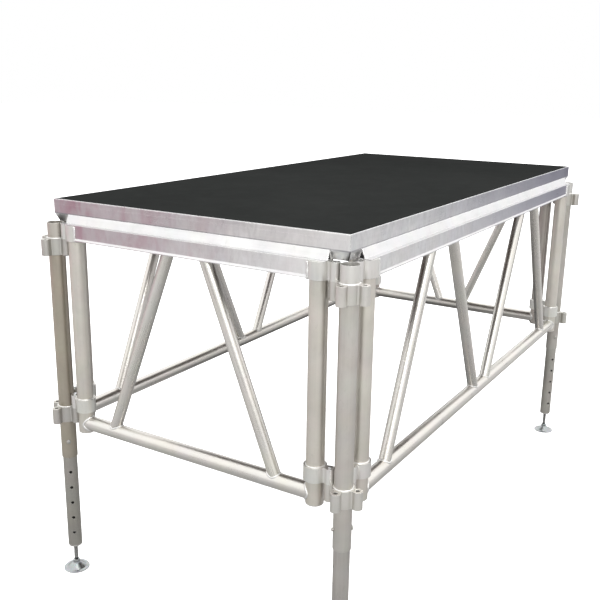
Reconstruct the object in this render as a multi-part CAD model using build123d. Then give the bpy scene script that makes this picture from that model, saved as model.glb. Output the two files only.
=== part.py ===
from build123d import *
import os
from math import cos, sin, radians, hypot

# Portable stage riser: a 2.44 x 1.22 m deck module that rests on four welded side frames,
# which hang by spigot pins in the lugs of four telescopic corner legs with screw-jack feet.
# Frame: origin on the floor under the centre of the deck, +X along the long side,
# +Y across the short side, +Z up. Millimetres.
# Corner names: f/b = front (-Y) / back (+Y), l/r = left (-X) / right (+X).
# A pair named _Z holds the bottom and top heights.

# ---------------------------------------------------------------- module size
DECK_L = 2440.0          # long side, leg axis to leg axis
DECK_W = 1220.0          # short side, leg axis to leg axis
DECK_TOP = 1510.0        # top of the walking surface with the legs at their longest
HALF_L, HALF_W = DECK_L / 2, DECK_W / 2
FIT = 0.05               # clearance between closely fitting pieces
OVERCUT = 1.0            # how far a cutter runs past the faces it opens

# ---------------------------------------------------------------- side frames
RAIL_W = 60.0            # top rail extrusion: a square box under a hollow fin
RAIL_BOT = 1371.0
RAIL_SHOULDER = 1428.0
RAIL_APEX = 1458.5
RAIL_WALL = 3.0
FIN_HALF = 12.5          # half width of the fin where it stands on the box
FIN_SLOPE = (RAIL_APEX - RAIL_SHOULDER) / FIN_HALF
SLOPE_STRETCH = hypot(1.0, FIN_SLOPE)   # vertical thickness of a sloping wall, per mm of wall
FIN_END = 70.0           # leg axis to the open end of the fin
LIP_OUT = 3.5            # small lip along both lower edges of the box
LIP_EDGE = 3.0
LIP_TOP = 9.5
COPE_TOP = RAIL_SHOULDER - RAIL_WALL
COPE_GAP = 0.1           # between the coped rail and a bracket
COPE_OVERCUT = 5.0
UPRIGHT_OFF = 104.0      # leg axis to upright axis
UPRIGHT_R = 30.0
UPRIGHT_BOT = 631.0
TUBE_WALL = 3.0          # uprights and bottom chord
CAP_DROP = 9.0           # lowest point of the end cap below the tube end
CAP_RIM = 2.0            # straight edge of the cap above its dome
CAP_PLUG = 16.0
CAP_PLUG_GAP = 0.1
CHORD_Z = 663.0
CHORD_R = 27.5
CHORD_CUT = 60.0         # half height of the cutter that copes the chord
BRACE_R = 21.5
BRACE_WALL = 2.5
BRACE_LOW_Z = 700.0      # heights at which the brace stations are given
BRACE_HIGH_Z = RAIL_BOT
BRACE_OVERRUN = 30.0     # raw length past the rail's underside
# Brace stations along the frame: (x at BRACE_LOW_Z, x at BRACE_HIGH_Z).
LONG_BRACES = ((-918.0, -620.0), (-81.0, -410.0), (81.0, 410.0), (918.0, 620.0))
LEFT_BRACES = ((-345.0, -79.0), (345.0, 79.0))      # an inverted V
RIGHT_BRACES = ((-80.0, -345.0), (80.0, 345.0))     # a V

# ---------------------------------------------------------------- lugs and spigot pins
LUG_OFF = 50.5           # leg axis to lug hole
LUG_EYE_R = 16.5
LUG_WEB = 25.0
LUG_HOLE_R = 7.0
UP_COLLAR_Z = (1308.0, 1368.0)
LO_COLLAR_Z = (652.0, 712.0)
UP_BRACKET_Z = (UP_COLLAR_Z[1], COPE_TOP - COPE_GAP)   # brackets rest on the collars
LO_BRACKET_Z = (LO_COLLAR_Z[1], 763.0)
COLLAR_R = 36.5
COLLAR_FILLET = 5.0
BRACKET_R = 38.0
PIN_R = 6.8
PIN_TIP = 5.0            # below the leg's lug
PIN_TOP = 5.0            # above the lower bracket
PIN_BEVEL = 2.0

# ---------------------------------------------------------------- legs
OUTER_R = 30.0
OUTER_IR = 27.5
OUTER_Z = (498.0, 1424.0)
INNER_R = 27.0
INNER_IR = 24.0
INNER_Z = (112.0, 735.0)
HOLE_PITCH = 66.0
HOLE_R = 6.2
HOLE_FIRST_Z = 171.0
HOLE_COUNT = 7
HOLE_REACH = 60.0        # half length of the cutter for a cross hole
LOCK_Z = HOLE_FIRST_Z + HOLE_PITCH * (HOLE_COUNT - 1)   # the outer tube's hole
LOCK_R = 5.8
LOCK_TIP = 6.0
LOCK_HEAD_R = 8.5
LOCK_HEAD_H = 5.5
LOCK_HEAD_SEAT = 0.3     # gap under the head
LOCK_HEAD_EDGE = 2.0     # outer tube to the start of the head's dome

# ---------------------------------------------------------------- screw jack and foot
JACK_R = 8.0             # trapezoidal jack screw, drawn at its outside diameter
JACK_TOP = 160.0
JACK_BEVEL = 2.0
SHOULDER_Z = 41.5        # where the journal meets the jack screw's bevelled lower end
SHOULDER_RISE = 2.0
NUT_FLANGE_H = 7.0
NUT_PLUG_H = 36.0
NUT_BORE_R = JACK_R + 0.12
JOURNAL_R = 5.0
JOURNAL_END = 12.0
JOURNAL_BEVEL = 0.8
BARREL_R = 8.0           # cross barrel the foot tilts on, axis along Y
BARREL_Z = 18.0
BARREL_HALF = 9.0
BARREL_BEVEL = 0.8
BARREL_BORE_R = JOURNAL_R + 0.06
BARREL_CUT = 20.0        # half height of the bore's cutter
SOCKET_GAP = 0.1
NECK_R = 8.0             # opening in the hub, wide enough for the tilt
NECK_OVERCUT = 5.0
FOOT_R = 50.0
FOOT_BASE_H = 4.0
FOOT_HUB_R = 13.0
FOOT_HUB_Z = 37.0
FOOT_BEVEL = 1.5

# ---------------------------------------------------------------- deck
PANEL_T = 18.0           # plywood thickness
PANEL_GAP = 0.25         # panel edge to lip
LEDGE_TOP = DECK_TOP - PANEL_T
RIM_EDGE_T = 3.0         # thin top lip of the rim extrusion, flush with the panel
RIM_WALL = 3.0
LEDGE_UNDER = LEDGE_TOP - RIM_WALL
RIM_FOOT_Z = 1458.7      # lower edge of the rim's outer face
RIM_SLOPE_RUN = 12.46    # how far inwards the steep lower edge runs; flat from there on
RIM_FLAT_Z = RIM_FOOT_Z - FIN_SLOPE * RIM_SLOPE_RUN   # the edge is as steep as the fin
RIM_DEPTH = 34.0         # outer face to the inside of the rim's inner web
LEDGE_REACH = 62.0       # outer face to the end of the panel ledge
MITRE_DEPTH = 100.0      # depth of the mitring outline, past the ledge
XMEMBER_W = 40.0         # deck cross-members, rectangular tube
XMEMBER_H = 52.0
XMEMBER_WALL = 2.5
XMEMBER_PAD_GAP = 0.1    # pad end to ledge
ANGLE_LEG = 70.0         # corner angles inside the rim
ANGLE_T = 5.0
ANGLE_H = 44.0
ANGLE_GAP = 1.0          # below the ledge
TAPPING_R = 2.4          # self-tapping screws up through the ledge into the panel
TAPPING_LEN = 14.0
TAPPING_HEAD_R = 4.6
TAPPING_HEAD_H = 2.8
TAPPING_INSET = 51.0     # outer face of the rim to the screw axis
TAPPING_PITCH = DECK_L / 10
LEDGE_HOLE_R = TAPPING_R + 0.15
PANEL_HOLE_OVER = 0.5    # hole depth past the screw's point

# Side frames: centre x, centre y, turn about Z, half length, braces.
FRAMES = {
    "front": (0.0, -HALF_W, 0.0, HALF_L, LONG_BRACES),
    "back": (0.0, HALF_W, 0.0, HALF_L, LONG_BRACES),
    "left": (-HALF_L, 0.0, 90.0, HALF_W, LEFT_BRACES),
    "right": (HALF_L, 0.0, 90.0, HALF_W, RIGHT_BRACES),
}
# Legs: x, y, azimuth of the locking pin's head.
CORNERS = {
    "fl": (-HALF_L, -HALF_W, -45.0),
    "fr": (HALF_L, -HALF_W, -135.0),
    "bl": (-HALF_L, HALF_W, -135.0),
    "br": (HALF_L, HALF_W, -45.0),
}

BOTTOM = (Align.CENTER, Align.CENTER, Align.MIN)
SIDES = (-1, 1)
QUARTERS = (0, 90, 180, 270)


# ================================================================ helpers
def rod(radius, z0, z1, x=0.0, y=0.0):
    return Pos(x, y, z0) * Cylinder(radius, z1 - z0, align=BOTTOM)


def pipe(outer, inner, z0, z1, x=0.0):
    return rod(outer, z0, z1, x) - rod(inner, z0 - OVERCUT, z1 + OVERCUT, x)


def pipe_on(axis, radius, wall, length):
    """Round tube that starts at a plane's origin and runs along its normal."""
    tube = Cylinder(radius, length, align=BOTTOM)
    return axis * (tube - Cylinder(radius - wall, length, align=BOTTOM))


def cross_barrel(gap=0.0):
    """Cylinder along Y at the height of the swivel barrel, larger all round by gap."""
    return Pos(0, 0, BARREL_Z) * (
        Rot(90, 0, 0) * Cylinder(BARREL_R + gap, 2 * (BARREL_HALF + gap))
    )


def lathe(points):
    """A closed (radius, z) outline turned round Z."""
    outline = Plane.XZ * make_face(Polyline(*points, close=True))
    return revolve(outline, Axis.Z, 360)


def dome(radius, z, rise, steps):
    """(radius, z) points of a quarter ellipse from its edge to the axis, without the first."""
    angles = [radians(90.0 * k / steps) for k in range(1, steps)]
    return [(radius * cos(a), z + rise * sin(a)) for a in angles] + [(0, z + rise)]


def section_along_x(points, half):
    """A (y, z) outline extruded along X from -half to +half."""
    face = Plane.YZ * make_face(Polyline(*points, close=True))
    return extrude(face, half, both=True)


def centred_stations(count, pitch):
    return [(k - (count - 1) / 2) * pitch for k in range(count)]


def write(name, shapes):
    solids = [solid for shape in shapes for solid in shape.solids()]
    piece = solids[0] if len(solids) == 1 else Compound(children=solids)
    export_step(piece, "parts/" + name + ".step")


# ================================================================ side frames
# Each frame is drawn along X, centred on the origin, then turned and moved into place.
def top_rail(half):
    """Box with a steep hollow fin on top. Fin and box top run on over the brackets to near the
    legs, and the box is coped round each bracket."""
    side = RAIL_W / 2
    right_edge = [
        (side + LIP_OUT, RAIL_BOT),
        (side + LIP_OUT, RAIL_BOT + LIP_EDGE),
        (side, RAIL_BOT + LIP_TOP),
        (side, RAIL_SHOULDER),
        (FIN_HALF, RAIL_SHOULDER),
    ]
    left_edge = [(-y, z) for y, z in reversed(right_edge)]
    body = section_along_x(right_edge + [(0, RAIL_APEX)] + left_edge, half - FIN_END)

    inside, floor = side - RAIL_WALL, RAIL_BOT + RAIL_WALL
    box_hollow = section_along_x(
        [(-inside, floor), (inside, floor), (inside, COPE_TOP), (-inside, COPE_TOP)], half
    )
    hollow_apex = RAIL_APEX - RAIL_WALL * SLOPE_STRETCH
    reach = (hollow_apex - RAIL_SHOULDER) / FIN_SLOPE
    fin_hollow = section_along_x(
        [(-reach, RAIL_SHOULDER), (reach, RAIL_SHOULDER), (0, hollow_apex)], half
    )
    rail = body - box_hollow - fin_hollow

    cope_bot = RAIL_BOT - COPE_OVERCUT
    for side_sign in SIDES:
        x = side_sign * (half - UPRIGHT_OFF)
        end = Box(
            UPRIGHT_OFF,
            RAIL_W + 4 * COPE_OVERCUT,
            COPE_TOP - cope_bot,
            align=(Align.MIN, Align.CENTER, Align.MAX),
        )
        end = Pos(x, 0, COPE_TOP) * (end if side_sign > 0 else Rot(0, 0, 180) * end)
        rail = rail - end - rod(BRACKET_R + COPE_GAP, cope_bot, COPE_TOP, x)
    return rail


def chord_axis(half):
    return Plane(origin=(UPRIGHT_OFF - half, 0, CHORD_Z), z_dir=(1, 0, 0))


def bottom_chord(half):
    """Tube between the uprights, coped to them at both ends."""
    run = half - UPRIGHT_OFF
    tube = pipe_on(chord_axis(half), CHORD_R, TUBE_WALL, 2 * run)
    for side in SIDES:
        tube -= rod(UPRIGHT_R + FIT, CHORD_Z - CHORD_CUT, CHORD_Z + CHORD_CUT, side * run)
    return tube


def brace(low, high, half):
    """Round tube cut to the chord below and to the rail's flat underside above."""
    lean = (high - low) / (BRACE_HIGH_Z - BRACE_LOW_Z)
    z0, z1 = CHORD_Z, RAIL_BOT + BRACE_OVERRUN
    x0 = low + lean * (z0 - BRACE_LOW_Z)
    x1 = low + lean * (z1 - BRACE_LOW_Z)
    axis = Plane(origin=(x0, 0, z0), z_dir=(x1 - x0, 0, z1 - z0))
    tube = pipe_on(axis, BRACE_R, BRACE_WALL, hypot(x1 - x0, z1 - z0))
    run = half - UPRIGHT_OFF
    chord = chord_axis(half) * Cylinder(CHORD_R + FIT, 2 * run, align=BOTTOM)
    above = Pos(x1, 0, RAIL_BOT) * Box(400, 200, 200, align=BOTTOM)
    tube = tube - chord - above
    # The chord can leave a scrap below itself; the brace is the largest solid.
    return max(tube.solids(), key=lambda solid: solid.volume)


def bracket(x, side, z0, z1):
    """Sleeve welded round an upright at x, with one lug towards the leg on that side."""
    lug_x = x + side * (UPRIGHT_OFF - LUG_OFF)
    solid = rod(BRACKET_R, z0, z1, x) + rod(LUG_EYE_R, z0, z1, lug_x)
    web = Box(abs(lug_x - x), LUG_WEB, z1 - z0, align=BOTTOM)
    solid += Pos((x + lug_x) / 2, 0, z0) * web
    solid -= rod(UPRIGHT_R + FIT, z0 - OVERCUT, z1 + OVERCUT, x)
    solid -= rod(PIN_R + FIT, z0 - OVERCUT, z1 + OVERCUT, lug_x)
    return solid


def spigot(x, top, tip):
    pin = rod(PIN_R, tip, top, x)
    return chamfer(pin.edges().sort_by(Axis.Z)[:1], PIN_BEVEL)


def end_cap(x):
    """Plug in the foot of an upright, with a shallow dome below the tube."""
    plug_r = UPRIGHT_R - TUBE_WALL - CAP_PLUG_GAP
    plug_top = UPRIGHT_BOT + CAP_PLUG
    dome_z = UPRIGHT_BOT - CAP_RIM
    plug = [(0, plug_top), (plug_r, plug_top), (plug_r, UPRIGHT_BOT)]
    edge = [(UPRIGHT_R, UPRIGHT_BOT), (UPRIGHT_R, dome_z)]
    return Pos(x, 0, 0) * lathe(plug + edge + dome(UPRIGHT_R, dome_z, CAP_RIM - CAP_DROP, 8))


def write_frames():
    spigots, caps = [], []
    for name, (x, y, turn, half, braces) in FRAMES.items():
        place = Pos(x, y, 0) * Rot(0, 0, turn)
        run = half - UPRIGHT_OFF
        uprights, brackets = [], []
        for side in SIDES:
            upright = pipe(
                UPRIGHT_R, UPRIGHT_R - TUBE_WALL, UPRIGHT_BOT, UP_BRACKET_Z[1], side * run
            )
            uprights.append(place * upright)
            for z0, z1 in (UP_BRACKET_Z, LO_BRACKET_Z):
                brackets.append(place * bracket(side * run, side, z0, z1))
            lug_x = side * (half - LUG_OFF)
            for top, collar_z in (
                (UP_BRACKET_Z[1], UP_COLLAR_Z),
                (LO_BRACKET_Z[1] + PIN_TOP, LO_COLLAR_Z),
            ):
                spigots.append(place * spigot(lug_x, top, collar_z[0] - PIN_TIP))
            caps.append(place * end_cap(side * run))
        frame = name + "_frame_"
        write(frame + "top_rail", [place * top_rail(half)])
        write(frame + "bottom_chord", [place * bottom_chord(half)])
        write(frame + "uprights", uprights)
        write(frame + "braces", [place * brace(low, high, half) for low, high in braces])
        write(frame + "brackets", brackets)
    write("frame_spigot_pins", spigots)
    write("upright_end_caps", caps)


# ================================================================ legs
# Each leg is drawn round the Z axis, then moved to its corner.
def collar(z0, z1):
    """Ring round the outer tube with four lugs, 90 degrees apart."""
    face = Circle(COLLAR_R)
    for turn in QUARTERS:
        face += Rot(0, 0, turn) * (Pos(LUG_OFF / 2, 0) * Rectangle(LUG_OFF, LUG_WEB))
        face += Rot(0, 0, turn) * (Pos(LUG_OFF, 0) * Circle(LUG_EYE_R))
    face = face.faces()[0]
    # Fillet the corners where the webs leave the ring.
    corners = [v for v in face.vertices() if abs(hypot(v.X, v.Y) - COLLAR_R) < 0.5]
    face = face.fillet_2d(COLLAR_FILLET, corners)
    face -= Circle(OUTER_R + FIT)
    for turn in QUARTERS:
        face -= Rot(0, 0, turn) * (Pos(LUG_OFF, 0) * Circle(LUG_HOLE_R))
    return Pos(0, 0, z0) * extrude(face, z1 - z0)


def radial_axis(z, azimuth, start=0.0):
    """Plane whose normal points along azimuth, with its origin start mm out from the leg axis."""
    x, y = cos(radians(azimuth)), sin(radians(azimuth))
    return Plane(origin=(start * x, start * y, z), z_dir=(x, y, 0))


def cross_bore(z, azimuth):
    bore = Cylinder(HOLE_R, 2 * HOLE_REACH, align=BOTTOM)
    return radial_axis(z, azimuth, -HOLE_REACH) * bore


def outer_tube(azimuth):
    return pipe(OUTER_R, OUTER_IR, *OUTER_Z) - cross_bore(LOCK_Z, azimuth)


def inner_tube(azimuth):
    tube = pipe(INNER_R, INNER_IR, *INNER_Z)
    for k in range(HOLE_COUNT):
        tube -= cross_bore(HOLE_FIRST_Z + k * HOLE_PITCH, azimuth)
    return tube


def lock_pin(azimuth):
    """Straight pin through both tubes, low domed head on one side, bevelled tip on the other."""
    tip = -(OUTER_R + LOCK_TIP)
    seat = OUTER_R + LOCK_HEAD_SEAT
    dome_start = OUTER_R + LOCK_HEAD_EDGE
    shank = [(0, tip), (LOCK_R - 1.8, tip), (LOCK_R, tip + 2.4), (LOCK_R, seat)]
    head = [(LOCK_HEAD_R, seat), (LOCK_HEAD_R, dome_start)]
    head += dome(LOCK_HEAD_R, dome_start, LOCK_HEAD_H - LOCK_HEAD_EDGE, 6)
    return radial_axis(LOCK_Z, azimuth) * lathe(shank + head)


def jack_nut():
    """Flange with a rounded lower edge, and a plug up inside the inner tube."""
    tube_end = INNER_Z[0]
    flange_bot = tube_end - NUT_FLANGE_H
    plug_r = INNER_IR - FIT
    return lathe(
        [
            (NUT_BORE_R, flange_bot),
            (INNER_R - 4.6, flange_bot),
            (INNER_R - 2.6, flange_bot + 0.5),
            (INNER_R - 1.0, flange_bot + 1.9),
            (INNER_R, flange_bot + 4.2),
            (INNER_R, tube_end),
            (plug_r, tube_end),
            (plug_r, tube_end + NUT_PLUG_H),
            (NUT_BORE_R, tube_end + NUT_PLUG_H),
        ]
    )


def jack_screw():
    """Threaded length, drawn plain, on a thinner journal that stands in the barrel."""
    return lathe(
        [
            (0, JOURNAL_END),
            (JOURNAL_R - JOURNAL_BEVEL, JOURNAL_END),
            (JOURNAL_R, JOURNAL_END + JOURNAL_BEVEL),
            (JOURNAL_R, SHOULDER_Z),
            (JACK_R - JACK_BEVEL, SHOULDER_Z),
            (JACK_R, SHOULDER_Z + SHOULDER_RISE),
            (JACK_R, JACK_TOP - JACK_BEVEL),
            (JACK_R - JACK_BEVEL, JACK_TOP),
            (0, JACK_TOP),
        ]
    )


def swivel_barrel():
    """Short cross barrel, bored upright for the screw's journal."""
    barrel = cross_barrel()
    barrel = chamfer(barrel.edges().filter_by(GeomType.CIRCLE), BARREL_BEVEL)
    return barrel - rod(BARREL_BORE_R, BARREL_Z - BARREL_CUT, BARREL_Z + BARREL_CUT)


def foot_plate():
    """Round plate: flat rim, cone, then a neck. Inside is the cross socket the barrel lies in."""
    body = lathe(
        [
            (0, 0),
            (FOOT_R - FOOT_BEVEL, 0),
            (FOOT_R, FOOT_BEVEL),
            (FOOT_R, FOOT_BASE_H - 1.0),
            (FOOT_R - 1.0, FOOT_BASE_H),
            (40.0, FOOT_BASE_H + 1.0),
            (37.5, FOOT_BASE_H + 1.6),
            (35.5, FOOT_BASE_H + 3.0),
            (17.0, 21.4),
            (14.6, 22.9),
            (13.4, 24.4),
            (FOOT_HUB_R, 26.4),
            (FOOT_HUB_R, FOOT_HUB_Z - FOOT_BEVEL),
            (FOOT_HUB_R - FOOT_BEVEL, FOOT_HUB_Z),
            (0, FOOT_HUB_Z),
        ]
    )
    body -= cross_barrel(SOCKET_GAP)
    return body - rod(NECK_R, BARREL_Z, FOOT_HUB_Z + NECK_OVERCUT)


def write_legs():
    for tag, (x, y, azimuth) in CORNERS.items():
        pieces = {
            "outer_tube": [outer_tube(azimuth)],
            "collars": [collar(*UP_COLLAR_Z), collar(*LO_COLLAR_Z)],
            "inner_tube": [inner_tube(azimuth)],
            "lock_pin": [lock_pin(azimuth)],
            "jack_nut": [jack_nut()],
            "jack_screw": [jack_screw()],
            "swivel_barrel": [swivel_barrel()],
            "foot_plate": [foot_plate()],
        }
        for piece, shapes in pieces.items():
            write("leg_" + tag + "_" + piece, [Pos(x, y, 0) * shape for shape in shapes])


# ================================================================ deck
def rim_outline():
    """(distance in from the outer face, z)."""
    return [
        (0, RIM_FOOT_Z),
        (0, DECK_TOP),
        (RIM_EDGE_T, DECK_TOP),
        (RIM_EDGE_T, LEDGE_TOP),
        (LEDGE_REACH, LEDGE_TOP),
        (LEDGE_REACH, LEDGE_UNDER),
        (RIM_DEPTH, LEDGE_UNDER),
        (RIM_DEPTH, RIM_FLAT_Z),
        (RIM_SLOPE_RUN, RIM_FLAT_Z),
    ]


def rim_chamber():
    """Hollow of the rim, same columns as rim_outline."""
    slope_foot = RIM_FOOT_Z + RIM_WALL * SLOPE_STRETCH   # hollow's slope, at the outer face
    inner = RIM_DEPTH - RIM_WALL
    floor = RIM_FLAT_Z + RIM_WALL
    return [
        (RIM_WALL, LEDGE_UNDER),
        (inner, LEDGE_UNDER),
        (inner, floor),
        ((slope_foot - floor) / FIN_SLOPE, floor),
        (RIM_WALL, slope_foot - FIN_SLOPE * RIM_WALL),
    ]


def rim(half, stations):
    """Rim extrusion along X, outer face on y = 0 and the deck on the +Y side, mitred at both
    ends."""
    bar = section_along_x(rim_outline(), half)
    bar -= section_along_x(rim_chamber(), half + OVERCUT)
    short = half - MITRE_DEPTH
    corners = ((-half, 0), (half, 0), (short, MITRE_DEPTH), (-short, MITRE_DEPTH))
    plan = make_face(Polyline(*corners, close=True))
    bar &= Pos(0, 0, RAIL_BOT) * extrude(plan, DECK_TOP - RAIL_BOT + 50)
    for x in stations:
        bar -= rod(LEDGE_HOLE_R, LEDGE_TOP - 10, LEDGE_TOP + 5, x, TAPPING_INSET)
    return bar


def deck_panel(screw_spots):
    edge = RIM_EDGE_T + PANEL_GAP
    panel = Box(DECK_L - 2 * edge, DECK_W - 2 * edge, PANEL_T, align=BOTTOM)
    panel = Pos(0, 0, LEDGE_TOP) * panel
    hole_top = LEDGE_UNDER + TAPPING_LEN + PANEL_HOLE_OVER
    for x, y in screw_spots:
        panel -= rod(TAPPING_R + FIT, LEDGE_TOP - OVERCUT, hole_top, x, y)
    return panel


def panel_screw(x, y):
    """Screw with its head under the ledge and its point in the panel."""
    seat, point = LEDGE_UNDER, LEDGE_UNDER + TAPPING_LEN
    return Pos(x, y, 0) * lathe(
        [
            (0, seat - TAPPING_HEAD_H),
            (TAPPING_HEAD_R - 1.4, seat - TAPPING_HEAD_H),
            (TAPPING_HEAD_R, seat - 1.0),
            (TAPPING_HEAD_R, seat),
            (TAPPING_R, seat),
            (TAPPING_R, point - 2.5),
            (0.3, point),
            (0, point),
        ]
    )


def cross_member(x):
    """Tube between the long rims, with a pad on top that fills in to the ledge height."""
    length = DECK_W - 2 * (RIM_DEPTH + FIT)
    wall = XMEMBER_WALL
    z = LEDGE_UNDER - XMEMBER_H
    block = Pos(x, 0, z) * Box(XMEMBER_W, length, XMEMBER_H, align=BOTTOM)
    hollow = Box(XMEMBER_W - 2 * wall, length + 2 * OVERCUT, XMEMBER_H - 2 * wall, align=BOTTOM)
    pad_length = DECK_W - 2 * (LEDGE_REACH + XMEMBER_PAD_GAP)
    pad = Pos(x, 0, LEDGE_UNDER) * Box(XMEMBER_W, pad_length, RIM_WALL, align=BOTTOM)
    return (block - Pos(x, 0, z + wall) * hollow) + pad


def corner_angle(side_x, side_y):
    """Upright angle in the inside corner of the rim."""
    x = side_x * (HALF_L - RIM_DEPTH - FIT)
    y = side_y * (HALF_W - RIM_DEPTH - FIT)
    z = LEDGE_UNDER - ANGLE_H - ANGLE_GAP
    legs = [
        Pos(x - side_x * size_x / 2, y - side_y * size_y / 2, z)
        * Box(size_x, size_y, ANGLE_H, align=BOTTOM)
        for size_x, size_y in ((ANGLE_LEG, ANGLE_T), (ANGLE_T, ANGLE_LEG))
    ]
    return legs[0] + legs[1]


def write_deck():
    long_stations = centred_stations(10, TAPPING_PITCH)
    short_stations = centred_stations(4, TAPPING_PITCH)
    long_rim = rim(HALF_L, long_stations)
    short_rim = rim(HALF_W, short_stations)
    write(
        "deck_long_rims",
        [Pos(0, -HALF_W, 0) * long_rim, Pos(0, HALF_W, 0) * (Rot(0, 0, 180) * long_rim)],
    )
    write(
        "deck_short_rims",
        [Pos(side * HALF_L, 0, 0) * (Rot(0, 0, side * 90) * short_rim) for side in SIDES],
    )

    spots = [(x, side * (HALF_W - TAPPING_INSET)) for x in long_stations for side in SIDES]
    spots += [(side * (HALF_L - TAPPING_INSET), y) for y in short_stations for side in SIDES]
    write("deck_panel", [deck_panel(spots)])
    write("deck_panel_screws", [panel_screw(x, y) for x, y in spots])

    member_stations = centred_stations(4, 2 * TAPPING_PITCH)
    write("deck_cross_members", [cross_member(x) for x in member_stations])
    write("deck_corner_angles", [corner_angle(sx, sy) for sx in SIDES for sy in SIDES])


os.makedirs("parts", exist_ok=True)
write_frames()
write_legs()
write_deck()
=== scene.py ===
"""A working platform: a deck on four aluminium tube frames and four telescopic legs.

The long sides run along X and Z is up, with the platform centred on the origin.
The front frame is at -Y, the back at +Y, the left at -X and the right at +X. Legs
are named by corner: fl, fr, bl, br. The CAD pieces get procedural metals and a deck
film; weld beads and threaded jack screws are added as meshes.
"""
import math

import bmesh
import bpy
from mathutils import Matrix, Vector, noise


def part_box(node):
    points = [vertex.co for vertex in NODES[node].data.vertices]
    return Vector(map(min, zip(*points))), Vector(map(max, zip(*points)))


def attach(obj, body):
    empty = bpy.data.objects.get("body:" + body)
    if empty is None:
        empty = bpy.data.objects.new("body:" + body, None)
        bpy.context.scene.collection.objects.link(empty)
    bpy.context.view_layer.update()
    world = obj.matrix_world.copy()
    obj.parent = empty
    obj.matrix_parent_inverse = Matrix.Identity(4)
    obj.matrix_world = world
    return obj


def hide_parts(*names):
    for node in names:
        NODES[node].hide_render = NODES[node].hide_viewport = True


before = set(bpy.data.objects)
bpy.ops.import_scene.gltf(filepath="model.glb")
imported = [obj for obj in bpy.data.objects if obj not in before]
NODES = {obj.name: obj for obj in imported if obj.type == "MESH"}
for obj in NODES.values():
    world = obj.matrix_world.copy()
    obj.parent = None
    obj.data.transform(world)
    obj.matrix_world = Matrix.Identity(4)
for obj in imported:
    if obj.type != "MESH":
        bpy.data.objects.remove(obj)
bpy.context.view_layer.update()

COLLECTION = bpy.context.scene.collection


# ================================================================ dimensions (metres)
def half_span(node, axis):
    low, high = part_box(node)
    return (getattr(high, axis) - getattr(low, axis)) / 2


HALF_X = half_span("deck_long_rims", "x")
HALF_Y = half_span("deck_long_rims", "y")
DECK_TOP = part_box("deck_panel")[1].z
RIM_SEAM_Z = 1.4587                 # seam between rim and fin

RAIL_LIP = 0.0035
RAIL_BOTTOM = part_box("front_frame_top_rail")[0].z
RAIL_HALF = half_span("front_frame_top_rail", "y") - RAIL_LIP

chord_low, chord_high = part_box("front_frame_bottom_chord")
CHORD_R = (chord_high.z - chord_low.z) / 2
CHORD_Z = (chord_high.z + chord_low.z) / 2

UPRIGHT_R = half_span("front_frame_uprights", "y")
# distance from a frame's end to the axis of its upright
UPRIGHT_INSET = HALF_X - (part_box("front_frame_uprights")[1].x - UPRIGHT_R)

BRACKET_R = half_span("front_frame_brackets", "y")
BRACKET_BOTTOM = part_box("front_frame_brackets")[0].z
BRACKET_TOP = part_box("front_frame_brackets")[1].z
LOW_BRACKET_TOP = BRACKET_BOTTOM + 0.051

OUTER_TUBE_R = half_span("leg_fl_outer_tube", "x")
COLLAR_BOTTOM, COLLAR_TOP = (corner.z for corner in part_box("leg_fl_collars"))
COLLAR_HEIGHT = 0.060
HIGH_BRACKET_BOTTOM = COLLAR_TOP

BRACE_R = half_span("front_frame_braces", "y")
BRACE_FOOT_Z = 0.700
BRACE_GRAIN_RISE = 0.671            # rise used for the slope of the braces' grain
# each brace: place along its frame at the foot, and at the top rail
LONG_BRACES = ((-0.918, -0.620), (-0.081, -0.410), (0.081, 0.410), (0.918, 0.620))
LEFT_BRACES = ((-0.345, -0.079), (0.345, 0.079))
RIGHT_BRACES = ((-0.080, -0.345), (0.080, 0.345))
# places along the frame that separate one brace from the next
LONG_GAPS = (-0.515, 0.0, 0.515)
SHORT_GAPS = (0.0,)

# centre, turn about Z, half length, axis it runs along, braces, gaps between braces
FRAMES = {
    "front": (Vector((0, -HALF_Y, 0)), 0.0, HALF_X, "x", LONG_BRACES, LONG_GAPS),
    "back": (Vector((0, HALF_Y, 0)), 0.0, HALF_X, "x", LONG_BRACES, LONG_GAPS),
    "left": (Vector((-HALF_X, 0, 0)), math.pi / 2, HALF_Y, "y", LEFT_BRACES, SHORT_GAPS),
    "right": (Vector((HALF_X, 0, 0)), math.pi / 2, HALF_Y, "y", RIGHT_BRACES, SHORT_GAPS),
}
LEGS = {
    "fl": (-HALF_X, -HALF_Y),
    "fr": (HALF_X, -HALF_Y),
    "bl": (-HALF_X, HALF_Y),
    "br": (HALF_X, HALF_Y),
}


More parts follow.
